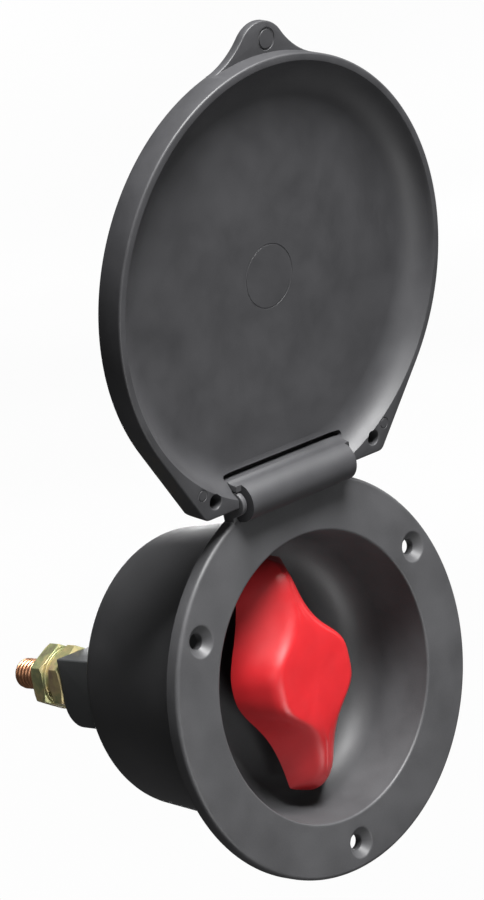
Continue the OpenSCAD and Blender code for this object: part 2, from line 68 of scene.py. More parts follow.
MM = 0.001

# Sizes are in mm and follow the CAD model. Soft edges, small clearances and moulding marks are
# this script's own.

# ---- housing sizes ----

FLANGE_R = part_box("housing")[1].x / MM
FLANGE_FRONT = -4.5
MOUTH_R = 40.5
BOWL_FLOOR = 21
BOWL_FILLET = 10
BOWL_DRAFT = math.radians(5)
FLOOR_T = 3
HOLLOW_FRONT_R = 36.5
HOLLOW_R = 38.3
HOLLOW_REAR_R = 37.2
HOLLOW_END_R = 34.6
REAR_WALL_T = 3
SKIRT_DRAFT = math.radians(5)
SKIRT_ROOT_R = 44.70
CUP_REAR = 53
BUSH_R = 6.25
SCREW_CIRCLE_R = 48.85
SCREW_ANGLES = (30, 150, 270)
PANEL_HOLE_R = 2.25
SINK_R = 4.4
SINK_DEPTH = 2.15

# ---- hinge sizes ----

HINGE_Y = -5.9
HINGE_Z = 56.3
PIN_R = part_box("hinge_pin")[1].z / MM - HINGE_Z
HINGE_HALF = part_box("hinge_pin")[1].x / MM
LUG_T = 1.6
LUG_R = 3.3
LUG_FOOT_Z = 48
LUG_REAR_Y = -0.5
LUG_CLEARANCE_R = 5.8
BARREL_R = 5.4
BARREL_HALF = 20.3
BARREL_PLAY = 0.15

# ---- lid sizes; a pair is a place across the lid and towards its tab ----

LID_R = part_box("lid")[1].x / MM
LID_T = 8.4
LID_RIM_Y = -3.8
LID_OPEN = math.radians(168)
LID_AXIS = (-HINGE_Z, LID_RIM_Y - HINGE_Y)
LID_MOUTH_R = LID_R - 2.15
LID_RIM_ROUND = 0.6
DISH_DEPTH = 6.2
DISH_ARC_R = 10.3
EAR = (33.3, -54.5)
EAR_R = 2.5
EAR_HOLE = (31, -52.3)
EAR_HOLE_R = 2.1
EAR_HOLE_DEPTH = 4.5
EAR_MARK = (35.6, -49.2)
EAR_MARK_R = 1.5
TAB_R = 9
TAB_U = 60.5
TAB_T = 3
TAB_FILLET = 24
TAB_MARK = (1.6, 64.6)
TAB_MARK_R = 2.75
GATE_MARK = (-0.7, 1.2)
GATE_MARK_R = 8.7
SLOT_U = -49.5
SLOT_HALF = 23
SLOT_W = 1.7
SLOT_ROUND = 0.7

# The CAD tab runs on to the lid's back. This one stops short of it, so their edges stay apart.
TAB_STEP = 0.4

# ---- knob sizes ----

KNOB_HALF = 35.5
KNOB_CROWN_Y = -0.3
KNOB_SKIRT_Y = 12.5
KNOB_LEAN = math.radians(-3)
KNOB_STEPS = 192
CROWN_HALF = 14.5
CROWN_TIP = 1.6
CROWN_BEND_Z = 11.7
CROWN_POWER = 3.9
CROWN_FLAT = 15
CROWN_SLOPE = 0.27
CROWN_BEND = 3
CROWN_SKEW = 0.04
CROWN_SETBACK = 2.4
CROWN_DOME = 0.22

# The CAD crown has a narrow chamfer. This one rolls over in a wider border, as in the photo.
CROWN_BORDER = 3
CROWN_ROLL = 2.6

FOOT_TIP = 7.6
FOOT_BULGE = 13
FOOT_SHIFT = 2
FOOT_FULL_Z = 17
FOOT_FULL_POWER = 2.34
FOOT_LEAN_Z = 14.4
FOOT_LEAN_POWER = 2.6
TIP_FULL_R = 9.5
TIP_LEAN_R = 3
TIP_SLANT = 0.35
TIP_END_R = 9.5
TIP_CROWN_R = 3.5
TIP_INNER_R = 2
HUB_R = 9
HUB_FRONT = 11
HUB_REAR = 18.6
SHAFT_HOLE_R = 4.02
SHAFT_HOLE_FRONT = 3.1

# ---- rear switch sizes ----

SWITCH_LEAN = math.radians(2)
DRUM_R = 27
BASE_FRONT = 44
CHAMBER_R = 24
CHAMBER_FLOOR = 50
BASE_FLANGE_R = 33
BASE_FLANGE_REAR = 56
BASE_REAR = 58
TOWER_W = 17
TOWER_REAR = 78.2
TOWER_FOOT = 3.4
TOWER_CORNER = 6.5
BARRIER_HALF = 14
BARRIER_T = 4
STUD_BORE_R = 5.05
STUD_HEAD_BORE_R = 7.1
STUD_HEAD_BORE_REAR = 53.3
CASE_SCREW_R = 20.5
CASE_SCREW_ANGLES = (135, 315)
CASE_SCREW_TIP = 35
CASE_SCREW_HEAD = 57.8
CASE_HOLE_R = 1.55
CASE_SINK_R = 3.1
CASE_SINK_Y = 55.8
SWITCH_SCREW_R = 30.5
SWITCH_SCREW_ANGLES = (45, 135, 225, 315)
SWITCH_SCREW_TIP = 45
SWITCH_SCREW_HEAD = 58
SWITCH_HOLE_R = 1.7
SCREW_SHANK_R = 1.2
SCREW_HEAD_R = 2.8
SCREW_HEAD_T = 2
SCREW_SLOT_W = 0.7
SCREW_SLOT_DEPTH = 0.8

# ---- terminal sizes ----

STUD_X = 19
STUD_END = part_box("stud_left")[1].y / MM
STUD_SHANK_R = 4.98
STUD_TIP_R = 4.6
STUD_TIP_ROUND = 2.4
STUD_HEAD_R = 7
STUD_HEAD_T = 3.6
THREAD_PITCH = 1.5
THREAD_DEPTH = 0.42
THREAD_STEPS = 130
NUT_FLATS = 17.5
NUT_T = 5
NUT_BORE_R = 5.03
NUT_SINK_R = 5.9
NUT_SINK_DEPTH = 0.8
OUTER_NUT_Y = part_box("outer_nuts")[0].y / MM
THREAD_START = OUTER_NUT_Y + 2
LOCK_WASHER_Y = TOWER_REAR + NUT_T
LOCK_WASHER_T = 1.8
LOCK_WASHER_BORE_R = 5.1
LOCK_WASHER_R = 8.4
LOCK_WASHER_GAP = 12
LOCK_WASHER_TURN = 200
FLAT_WASHER_Y = LOCK_WASHER_Y + LOCK_WASHER_T
FLAT_WASHER_T = 1
FLAT_WASHER_BORE_R = 5.2
FLAT_WASHER_R = 8.8

# ---- studio sizes, in metres and degrees ----

CAMERA_AT = (-0.516098, -0.558462, 0.215755)
CAMERA_TURN = (78.6823, 11.3782, -44.4319)
CAMERA_LENS = 113.82
FLOOR_Z = cad_low.z - 0.35
STUDIO_R = 6
STUDIO_WALL = 5
STUDIO_CURVE_R = 1.5
AIM = (0, 0, 0.04)


# ---- outlines ----


def arc(centre, radius, start, end, steps):
    """Points along a circular arc, with angles in degrees."""
    return [
        (
            centre[0] + radius * math.cos(math.radians(start + (end - start) * k / steps)),
            centre[1] + radius * math.sin(math.radians(start + (end - start) * k / steps)),
        )
        for k in range(steps + 1)
    ]


def rounded(corners, steps=6):
    """A closed outline through (x, y, radius) corners, each one rounded with its own radius."""
    points = []
    for i, (x, y, radius) in enumerate(corners):
        here = Vector((x, y))
        if radius == 0:
            points.append((x, y))
            continue
        back = (Vector(corners[i - 1][:2]) - here).normalized()
        ahead = (Vector(corners[(i + 1) % len(corners)][:2]) - here).normalized()
        half = back.angle(ahead) / 2
        centre = here + (back + ahead).normalized() * radius / math.sin(half)
        first = here + back * radius / math.tan(half) - centre
        last = here + ahead * radius / math.tan(half) - centre
        start = math.atan2(first.y, first.x)
        turn = math.remainder(math.atan2(last.y, last.x) - start, 2 * math.pi)
        for k in range(steps + 1):
            a = start + turn * k / steps
            points.append((centre.x + radius * math.cos(a), centre.y + radius * math.sin(a)))
    return points


def inset(outline, distance):
    """A closed outline moved inwards by a small distance, corner by corner."""
    area = sum(
        outline[i - 1][0] * y - x * outline[i - 1][1] for i, (x, y) in enumerate(outline)
    )
    sign = 1 if area > 0 else -1
    moved = []
    for i, (x, y) in enumerate(outline):
        before = Vector(outline[i - 1])
        after = Vector(outline[(i + 1) % len(outline)])
        along = (after - before).normalized()
        moved.append((x - sign * along.y * distance, y + sign * along.x * distance))
    return moved


# ---- placing ----


def moved(bm, matrix):
    """The same bmesh, after a move."""
    bmesh.ops.transform(bm, matrix=matrix, verts=bm.verts)
    return bm


def at_angle(radius, degrees):
    """A move out from the Y axis, at an angle in the panel's plane."""
    a = math.radians(degrees)
    return Matrix.Translation((radius * math.cos(a), 0, radius * math.sin(a)))


def along_x_turn():
    """Turns a shape drawn along Y so that it runs along X."""
    return Matrix.Rotation(math.radians(-90), 4, "Z")


def standing_up():
    """Turns a shape drawn along Z so that it runs along Y, keeping its height."""
    return Matrix(((1, 0, 0, 0), (0, 0, 1, 0), (0, -1, 0, 0), (0, 0, 0, 1)))


def section_along_x():
    """Stands a section drawn with x as height and y as depth across the X axis."""
    return Matrix(((0, 0, 1, 0), (0, 1, 0, 0), (1, 0, 0, 0), (0, 0, 0, 1)))


def across_lid():
    """Stands a section (towards the tab, depth) across the lid's width."""
    return Matrix(((0, 0, 1, 0), (1, 0, 0, 0), (0, 1, 0, 0), (0, 0, 0, 1)))


# ---- meshes ----


def join_rings(bm, ring, following):
    """Faces between two rings of vertices; a ring of one vertex is a point."""
    count = max(len(ring), len(following))
    for i in range(count):
        j = (i + 1) % count
        corners = [ring[i % len(ring)], ring[j % len(ring)]]
        corners += [following[j % len(following)], following[i % len(following)]]
        distinct = list(dict.fromkeys(corners))
        if len(distinct) > 2:
            bm.faces.new(distinct)


def skin(rings, closed=False, cap_last=True):
    """A mesh through rings of points. Open ones are capped with a flat face."""
    bm = bmesh.new()
    made = [[bm.verts.new(p) for p in ring] for ring in rings]
    for ring, following in zip(made, made[1:]):
        join_rings(bm, ring, following)
    if closed:
        join_rings(bm, made[-1], made[0])
    else:
        for ring in (made[0], made[-1]) if cap_last else (made[0],):
            if len(ring) > 2:
                bm.faces.new(ring)
    return bm


def lathe(profile, steps=160, closed=False):
    """Turns (radius, y) points about the Y axis. A radius of 0 is a point on the axis."""
    angles = [2 * math.pi * k / steps for k in range(steps)]
    rings = [
        [(0, y, 0)]
        if radius < 1e-6
        else [(radius * math.cos(a), y, radius * math.sin(a)) for a in angles]
        for radius, y in profile
    ]
    return skin(rings, closed)


def cylinder(radius, low, high, steps):
    """A plain cylinder on the Y axis."""
    return lathe([(0, low), (radius, low), (radius, high), (0, high)], steps)


def prism(outline, low, high, edge=0.3, steps=3):
    """An outline in X and Y pushed along Z from low to high, with rounded edges."""
    rings = []
    for k in range(steps + 1):
        a = math.pi / 2 * k / steps
        shape = inset(outline, edge * (1 - math.sin(a)))
        rings.append([(x, y, low + edge * (1 - math.cos(a))) for x, y in shape])
    for k in range(steps + 1):
        a = math.pi / 2 * k / steps
        shape = inset(outline, edge * (1 - math.cos(a)))
        rings.append([(x, y, high - edge * (1 - math.sin(a))) for x, y in shape])
    return skin(rings)


def ring_groove(radius, wire, steps):
    """A thin torus about the Z axis, for cutting a round mark into a face."""
    rings = []
    for k in range(steps):
        a = 2 * math.pi * k / steps
        circle = arc((radius, 0), wire, 0, 315, 7)
        rings.append([(r * math.cos(a), r * math.sin(a), h) for r, h in circle])
    return skin(rings, closed=True)


def to_object(bm, name, matrix=None):
    """An object in mm from a bmesh, which is used up."""
    if matrix is not None:
        bmesh.ops.transform(bm, matrix=matrix, verts=bm.verts)
    bmesh.ops.recalc_face_normals(bm, faces=bm.faces)
    mesh = bpy.data.meshes.new(name)
    bm.to_mesh(mesh)
    bm.free()
    made = bpy.data.objects.new(name, mesh)
    bpy.context.scene.collection.objects.link(made)
    return made


def combine(target, tools, operation, solver="MANIFOLD"):
    """Joins or cuts with a list of bmeshes, each one used up."""
    for bm in tools:
        tool = to_object(bm, "tool")
        modifier = target.modifiers.new("combine", "BOOLEAN")
        modifier.operation = operation
        modifier.solver = solver
        modifier.object = tool
        graph = bpy.context.evaluated_depsgraph_get()
        result = bpy.data.meshes.new_from_object(target.evaluated_get(graph))
        target.modifiers.clear()
        spent = target.data
        target.data = result
        bpy.data.meshes.remove(spent)
        bpy.data.objects.remove(tool)


def finish_piece(piece, body, material, replaced=(), sharp=35):
    """Scales a piece from mm, shades it, paints it and hands it to its body."""
    mesh = piece.data
    mesh.transform(Matrix.Scale(MM, 4))
    bm = bmesh.new()
    bm.from_mesh(mesh)
    bmesh.ops.remove_doubles(bm, verts=bm.verts, dist=2e-6)
    bmesh.ops.dissolve_degenerate(bm, edges=bm.edges, dist=1e-6)
    bmesh.ops.recalc_face_normals(bm, faces=bm.faces)
    bm.to_mesh(mesh)
    bm.free()
    mesh.shade_smooth()
    mesh.set_sharp_from_angle(angle=math.radians(sharp))
    mesh.materials.clear()
    mesh.materials.append(material)
    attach(piece, body)
    if replaced:
        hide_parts(*replaced)
    return piece


# ---- materials ----


class Nodes:
    """Short calls for building a node material."""

    def __init__(self, name):
        self.material = bpy.data.materials.new(name)
        self.material.use_nodes = True
        self.tree = self.material.node_tree
        self.shader = self.tree.nodes["Principled BSDF"]
        self.place = self.tree.nodes.new("ShaderNodeTexCoord").outputs["Object"]

    def link(self, source, target):
        """Joins an output socket to an input socket."""
        self.tree.links.new(source, target)

    def set(self, **values):
        """Sets inputs of the Principled shader by name, with _ for each space."""
        for name, value in values.items():
            self.shader.inputs[name.replace("_", " ")].default_value = value

    def noise(self, scale, detail=3, roughness=0.5, stretch=None):
        """Noise with about scale features per metre. Returns its factor."""
        node = self.tree.nodes.new("ShaderNodeTexNoise")
        node.inputs["Scale"].default_value = scale
        node.inputs["Detail"].default_value = detail
        node.inputs["Roughness"].default_value = roughness
        place = self.place
        if stretch is not None:
            mapping = self.tree.nodes.new("ShaderNodeMapping")
            mapping.inputs["Scale"].default_value = stretch
            self.link(place, mapping.inputs["Vector"])
            place = mapping.outputs["Vector"]
        self.link(place, node.inputs["Vector"])
        return node.outputs["Fac"]

    def ramp(self, factor, stops):
        """Colours by factor. stops is a list of (position, colour)."""
        node = self.tree.nodes.new("ShaderNodeValToRGB")
        elements = node.color_ramp.elements
        while len(elements) < len(stops):
            elements.new(0.5)
        for element, (position, colour) in zip(elements, stops):
            element.position = position
            element.color = (*colour, 1)
        self.link(factor, node.inputs["Fac"])
        return node.outputs["Color"]

    def span(self, factor, low, high, source=(0.3, 0.7)):
        """A number that goes from low to high as factor goes over its source range."""
        node = self.tree.nodes.new("ShaderNodeMapRange")
        node.inputs["From Min"].default_value = source[0]
        node.inputs["From Max"].default_value = source[1]
        node.inputs["To Min"].default_value = low
        node.inputs["To Max"].default_value = high
        self.link(factor, node.inputs["Value"])
        return node.outputs["Result"]

    def mix(self, factor, first, second):
        """One colour that goes from first to second as factor goes from 0 to 1."""
        node = self.tree.nodes.new("ShaderNodeMix")
        node.data_type = "RGBA"
        for value, socket in ((factor, "Factor"), (first, "A"), (second, "B")):
            target = [s for s in node.inputs if s.name == socket and s.enabled][0]
            if isinstance(value, bpy.types.NodeSocket):
                self.link(value, target)
            elif isinstance(value, tuple):
                target.default_value = (*value, 1)
            else:
                target.default_value = value
        return [s for s in node.outputs if s.enabled][0]

    def bump(self, height, depth_mm, below=None):
        """Relief of about depth_mm. below is the normal of a coarser relief under it."""
        node = self.tree.nodes.new("ShaderNodeBump")
        node.inputs["Strength"].default_value = 1
        node.inputs["Distance"].default_value = depth_mm * MM
        self.link(height, node.inputs["Height"])
        if below is not None:
            self.link(below, node.inputs["Normal"])
        return node.outputs["Normal"]


def shade(colour, factor):
    """A lighter or darker version of a colour."""
    return tuple(c * factor for c in colour)


def moulded_plastic(name, colour, roughness=0.5, grain_mm=0.012, clouds=0.18):
    """Moulded plastic with a spark-eroded grain and faint cloudy marks."""
    m = Nodes(name)
    cloud = m.noise(70, 4, 0.6)
    grain = m.noise(2600, 2, 0.6)
    tone = m.ramp(cloud, [(0.3, shade(colour, 1 - clouds)), (0.7, shade(colour, 1 + clouds))])
    speckled = m.mix(m.span(grain, 0, 0.22), tone, shade(colour, 1.7))
    m.link(speckled, m.shader.inputs["Base Color"])
    m.link(m.span(cloud, roughness - 0.05, roughness + 0.07), m.shader.inputs["Roughness"])
    coarse = m.bump(m.noise(320, 2), grain_mm * 0.8)
    m.link(m.bump(grain, grain_mm, coarse), m.shader.inputs["Normal"])
    m.set(Specular_IOR_Level=0.5)
    return m.material


def satin_red(name):
    """Smooth red moulded plastic with a soft sheen."""
    m = Nodes(name)
    cloud = m.noise(90, 3)
    tone = m.ramp(cloud, [(0.3, (0.34, 0.009, 0.012)), (0.7, (0.41, 0.012, 0.016))])
    m.link(tone, m.shader.inputs["Base Color"])
    m.link(m.span(m.noise(260, 4), 0.36, 0.46), m.shader.inputs["Roughness"])
    coarse = m.bump(m.noise(120, 2), 0.02)
    m.link(m.bump(m.noise(2400, 2), 0.003, coarse), m.shader.inputs["Normal"])
    m.set(Subsurface_Weight=0.12, Subsurface_Scale=0.004, Specular_IOR_Level=0.5)
    m.shader.inputs["Subsurface Radius"].default_value = (1.0, 0.25, 0.15)
    return m.material


def metal(name, light, dark, roughness, turned=False, tarnish=120):
    """Bare or plated metal: cloudy tarnish, fine scratches, and turning marks if asked for."""
    m = Nodes(name)
    cloud = m.noise(tarnish, 5, 0.65)
    m.link(m.ramp(cloud, [(0.32, dark), (0.62, light)]), m.shader.inputs["Base Color"])
    m.link(m.span(m.noise(500, 4), roughness - 0.07, roughness + 0.1),
           m.shader.inputs["Roughness"])
    stretch = (1, 14, 1) if turned else (6, 1, 1)
    coarse = m.bump(m.noise(260, 3), 0.02)
    m.link(m.bump(m.noise(700, 3, 0.5, stretch), 0.006, coarse), m.shader.inputs["Normal"])
    m.set(Metallic=1.0)
    return m.material


def yellow_chromate(name):
    """Yellow-passivated zinc: gold that drifts to olive and pinkish brown."""
    m = Nodes(name)
    drift = m.noise(150, 4, 0.6)
    colours = [
        (0.25, (0.22, 0.17, 0.13)),
        (0.42, (0.33, 0.36, 0.18)),
        (0.55, (0.58, 0.48, 0.24)),
        (0.70, (0.42, 0.30, 0.20)),
    ]
    m.link(m.ramp(drift, colours), m.shader.inputs["Base Color"])
    m.link(m.span(m.noise(600, 4), 0.34, 0.5), m.shader.inputs["Roughness"])
    coarse = m.bump(m.noise(220, 3), 0.015)
    m.link(m.bump(m.noise(1500, 3), 0.004, coarse), m.shader.inputs["Normal"])
    m.set(Metallic=0.6)
    return m.material


def rubber(name):
    """Dull black rubber."""
    m = Nodes(name)
    cloud = m.noise(200, 4)
    tone = m.ramp(cloud, [(0.3, (0.012, 0.012, 0.013)), (0.7, (0.03, 0.03, 0.032))])
    m.link(tone, m.shader.inputs["Base Color"])
    m.link(m.span(cloud, 0.65, 0.85), m.shader.inputs["Roughness"])
    m.link(m.bump(m.noise(1800, 3), 0.01), m.shader.inputs["Normal"])
    return m.material


MATERIALS = {
    "charcoal_plastic": moulded_plastic("charcoal_plastic", (0.038, 0.038, 0.040), 0.52),
    # The lid is moulded in the same charcoal plastic as the cup. This copy's darker base colour is
    # painted shade on the lid.
    "lid_plastic_painted_shade": moulded_plastic("lid_plastic_painted_shade", (0.026, 0.026, 0.028), 0.54),
    "grey_plastic": moulded_plastic("grey_plastic", (0.050, 0.052, 0.053), 0.45, 0.008),
    "red_plastic": satin_red("red_plastic"),
    "steel": metal("steel", (0.62, 0.62, 0.63), (0.42, 0.42, 0.43), 0.3),
    "brass": metal("brass", (0.76, 0.58, 0.28), (0.52, 0.37, 0.16), 0.3, turned=True),
    "copper": metal("copper", (0.80, 0.42, 0.24), (0.50, 0.22, 0.11), 0.34, turned=True),
    "yellow_zinc": yellow_chromate("yellow_zinc"),
    "seal_rubber": rubber("seal_rubber"),
}


# ---- housing ----


def housing_profile():
    """Section of the bowl, its hollow wall, the skirt and the flange, as (radius, y)."""
    bowl_foot_r = MOUTH_R - (BOWL_FLOOR - FLANGE_FRONT) * math.tan(BOWL_DRAFT)
    skirt_rear_r = SKIRT_ROOT_R - CUP_REAR * math.tan(SKIRT_DRAFT)
    hollow_front = BOWL_FLOOR + FLOOR_T
    hollow_rear = CUP_REAR - REAR_WALL_T
    drum_hole_r = DRUM_R + 1
    return rounded(
        [
            (MOUTH_R, FLANGE_FRONT, 0.8),
            (bowl_foot_r, BOWL_FLOOR, BOWL_FILLET),
            (BUSH_R, BOWL_FLOOR, 0.3),
            (BUSH_R, hollow_front, 0),
            (HOLLOW_FRONT_R, hollow_front, 2),
            (HOLLOW_R, hollow_front + 4, 2),
            (HOLLOW_REAR_R, hollow_rear - 3, 2),
            (HOLLOW_END_R, hollow_rear, 1),
            (drum_hole_r, hollow_rear, 0.3),
            (drum_hole_r, CUP_REAR, 0.5),
            (skirt_rear_r, CUP_REAR, 4),
            (SKIRT_ROOT_R, 0, 0.8),
            (FLANGE_R, 0, 0.5),
            (FLANGE_R, FLANGE_FRONT, 1.2),
        ],
        steps=8,
    )


def panel_screw_cutter(angle):
    """A countersunk hole whose mouth is very slightly rounded."""
    mouth = FLANGE_FRONT - 0.004
    top = mouth - 3
    top_r = SINK_R + 0.8
    past_back = 1
    profile = rounded(
        [
            (0, top, 0),
            (top_r, top, 0),
            (top_r, mouth, 0),
            (SINK_R, mouth, 0.9),
            (PANEL_HOLE_R, mouth + SINK_DEPTH, 0.2),
            (PANEL_HOLE_R, past_back, 0),
            (0, past_back, 0),
        ]
    )
    return moved(lathe(profile, 64), at_angle(SCREW_CIRCLE_R, angle))


def lug_outline():
    """Section of a hinge lug: x is the height and y runs into the panel."""
    nose = arc((HINGE_Z, HINGE_Y), LUG_R, 20, -160, 20)
    return nose + [
        (HINGE_Z - 4, FLANGE_FRONT + 0.1),
        (LUG_FOOT_Z, FLANGE_FRONT + 0.6),
        (LUG_FOOT_Z, LUG_REAR_Y),
        (HINGE_Z + 0.4, LUG_REAR_Y),
        (HINGE_Z + 2.2, -2.6),
    ]


def bar_along_x(radius, low, high, steps=64):
    """A round bar on the hinge axis."""
    bar = cylinder(radius, low, high, steps)
    return moved(bar, Matrix.Translation((0, HINGE_Y, HINGE_Z)) @ along_x_turn())


def make_housing():
    """The cup, with its screw holes, the notch for the lid's barrel and the bored lugs."""
    housing = to_object(lathe(housing_profile(), 240, closed=True), "cup_and_flange")
    notch_half = BARREL_HALF + BARREL_PLAY
    cutters = [panel_screw_cutter(angle) for angle in SCREW_ANGLES]
    cutters.append(bar_along_x(LUG_CLEARANCE_R, -notch_half, notch_half))
    combine(housing, cutters, "DIFFERENCE")
    lugs = [
        moved(prism(lug_outline(), low, low + LUG_T, 0.3), section_along_x())
        for low in (HINGE_HALF - LUG_T, -HINGE_HALF)
    ]
    combine(housing, lugs, "UNION")
    past_lugs = 30
    bore = bar_along_x(PIN_R + 0.02, -past_lugs, past_lugs, 32)
    combine(housing, [bore], "DIFFERENCE")
    finish_piece(
        housing, "base", MATERIALS["charcoal_plastic"], ["housing"]
    )


# ---- lid ----


def lid_matrix():
    """From the lid's own frame (across, towards the tab, depth from the rim) to the open lid."""
    closed = Matrix(((1, 0, 0, 0), (0, 0, -1, LID_RIM_Y), (0, -1, 0, 0), (0, 0, 0, 1)))
    hinge = Matrix.Translation((0, HINGE_Y, HINGE_Z))
    return hinge @ Matrix.Rotation(-LID_OPEN, 4, "X") @ hinge.inverted() @ closed


def lid_edge():
    """The lid's outline as (point, outward direction) pairs, without the finger tab."""
    reach = math.hypot(*EAR)
    turn = math.degrees(math.atan2(EAR[1], EAR[0]) + math.acos((LID_R - EAR_R) / reach))
    right = [(turn + (180 - 2 * turn) * k / 150, (0, 0), LID_R) for k in range(151)]
    left_ear = [(180 - turn + (90 + turn) * k / 6, (-EAR[0], EAR[1]), EAR_R) for k in range(7)]
    right_ear = [(-90 + (turn + 90) * k / 6, EAR, EAR_R) for k in range(7)]
    discs = right + left_ear + right_ear
    edge = []
    for i, (angle, centre, radius) in enumerate(discs):
        out = Vector((math.cos(math.radians(angle)), math.sin(math.radians(angle))))
        here = Vector(centre) + out * radius
        edge.append((here, out))
        next_angle, next_centre, next_radius = discs[(i + 1) % len(discs)]
        next_a = math.radians(next_angle)
        next_out = Vector((math.cos(next_a), math.sin(next_a)))
        there = Vector(next_centre) + next_out * next_radius
        gaps = round((there - here).length / 2.4)
        for k in range(1, gaps):
            edge.append((here.lerp(there, k / gaps), out))
    return edge


def heel_round(out):
    """Radius of the lid's back edge: larger at the heel, which swings past the panel."""
    share = min(1, max(0, (-out.y - 0.6) / 0.35))
    return 1 + 2 * share * share * (3 - 2 * share)


def lid_rings():
    """Rings from the dish's middle, out over the rim and back to the middle of the lid's back."""
    edge = lid_edge()
    angles = [math.atan2(p.y, p.x) for p, _ in edge]

    def circle(radius, depth):
        return [(radius * math.cos(a), radius * math.sin(a), depth) for a in angles]

    def around(inward, depth):
        return [
            (p.x - out.x * inward(out), p.y - out.y * inward(out), depth(out)) for p, out in edge
        ]

    arc_low_r = LID_MOUTH_R - math.sqrt(DISH_ARC_R**2 - (DISH_ARC_R - DISH_DEPTH) ** 2)
    slope = math.degrees(math.asin((LID_MOUTH_R - arc_low_r) / DISH_ARC_R))
    rings = [[(0, 0, DISH_DEPTH)]]
    rings += [circle(r, DISH_DEPTH) for r in (6, 14, 24, 34, 43)]
    for r, d in arc((arc_low_r, DISH_DEPTH - DISH_ARC_R), DISH_ARC_R, 90, 92 - slope, 14):
        rings.append(circle(r, d))
    rings += [circle(LID_MOUTH_R - 0.02, 0.16), circle(LID_MOUTH_R + 0.08, 0.03)]
    rings.append(circle(LID_MOUTH_R + 0.25, 0))
    for k in range(5):
        a = math.pi / 2 * k / 4
        rings.append(
            around(
                lambda _: LID_RIM_ROUND * (1 - math.sin(a)),
                lambda _: LID_RIM_ROUND * (1 - math.cos(a)),
            )
        )
    for k in range(6):
        a = math.pi / 2 * k / 5
        rings.append(
            around(
                lambda out: heel_round(out) * (1 - math.cos(a)),
                lambda out: LID_T - heel_round(out) * (1 - math.sin(a)),
            )
        )
    for share in (0.86, 0.6, 0.3):
        rings.append([(p.x * share, p.y * share, LID_T) for p, _ in edge])
    rings.append([(0, 0, LID_T)])
    return rings


def tab_outline():
    """The finger tab: a round nose, a fillet on each side, and a root inside the lid."""
    root_depth = 4
    fillet_reach = LID_R + TAB_FILLET
    neck = TAB_R + TAB_FILLET
    fillet_u = (fillet_reach**2 - neck**2 + TAB_U**2) / (2 * TAB_U)
    fillet_x = math.sqrt(fillet_reach**2 - fillet_u**2)
    foot = math.degrees(math.atan2(-fillet_u, -fillet_x))
    lip = math.degrees(math.atan2(TAB_U - fillet_u, -fillet_x))
    fillet = arc((fillet_x, fillet_u), TAB_FILLET, foot % 360, lip % 360, 14)
    nose_start = lip % 360 - 180
    nose = arc((0, TAB_U), TAB_R, nose_start, 180 - nose_start, 28)
    mirrored = [(-x, u) for x, u in reversed(fillet)]
    root_x, root_u = (c * (1 - root_depth / LID_R) for c in fillet[0])
    return fillet + nose[1:-1] + mirrored + [(-root_x, root_u), (root_x, root_u)]


def barrel_outline():
    """Section of the hinge barrel and its web: x is towards the tab, y the depth."""
    axis = Vector(LID_AXIS)
    web_r = 4
    web_d = DISH_DEPTH - web_r
    web_u = axis.x + math.sqrt((BARREL_R + web_r) ** 2 - (axis.y - web_d) ** 2)
    contact = math.degrees(math.atan2(web_d - axis.y, web_u - axis.x))
    web = arc((web_u, web_d), web_r, 96, 180 + contact, 10)
    barrel = arc(axis, BARREL_R, contact, -270, 48)
    return web + barrel[1:] + [(web[0][0], axis.y + BARREL_R)]


def pin_bore():
    """The bore for the hinge pin, in the lid's own frame."""
    circle = arc(LID_AXIS, PIN_R + 0.06, 0, 348.75, 31)
    return moved(prism(circle, -HINGE_HALF - 1, HINGE_HALF + 1, 0.01, 1), across_lid())


def lug_pocket(low, high):
    """Room for a hinge lug. The dish floor runs on above the lug when the lid is open."""
    near = LUG_R + 0.45
    step_u = 1.5
    step_d = 1
    wide = arc(
        LID_AXIS,
        LUG_CLEARANCE_R,
        math.degrees(math.acos(step_u / LUG_CLEARANCE_R)),
        360 - math.degrees(math.asin(step_d / LUG_CLEARANCE_R)),
        48,
    )
    close = arc(
        LID_AXIS,
        near,
        -math.degrees(math.asin(step_d / near)),
        math.degrees(math.acos(step_u / near)),
        16,
    )
    return moved(prism(wide + close, low, high, 0.01, 1), across_lid())


def blind_hole(x, u, radius, depth):
    """Cuts a hole with a rounded mouth and floor into the lid's rim."""
    top = -2
    top_r = radius + 0.5
    mouth = -0.004
    profile = rounded(
        [(0, top, 0), (top_r, top, 0), (top_r, mouth, 0),
         (radius, mouth, 0.3), (radius - 0.1, depth, 0.3), (0, depth, 0)]
    )
    upright = Matrix.Rotation(math.radians(90), 4, "X")
    return moved(lathe(profile, 48), Matrix.Translation((x, u, 0)) @ upright)


def round_mark(place, depth, radius, wire, steps):
    """A faint ring to cut into a face of the lid at a depth from its rim."""
    return moved(ring_groove(radius, wire, steps), Matrix.Translation((*place, depth)))


def slot_cutter():
    """The long slot through the dish beside the barrel."""
    low = SLOT_U - SLOT_W / 2
    high = SLOT_U + SLOT_W / 2
    corners = [(-SLOT_HALF, low), (SLOT_HALF, low), (SLOT_HALF, high), (-SLOT_HALF, high)]
    outline = rounded([(*corner, SLOT_ROUND) for corner in corners])
    return prism(outline, 2, DISH_DEPTH + 1.6, 0.1, 1)


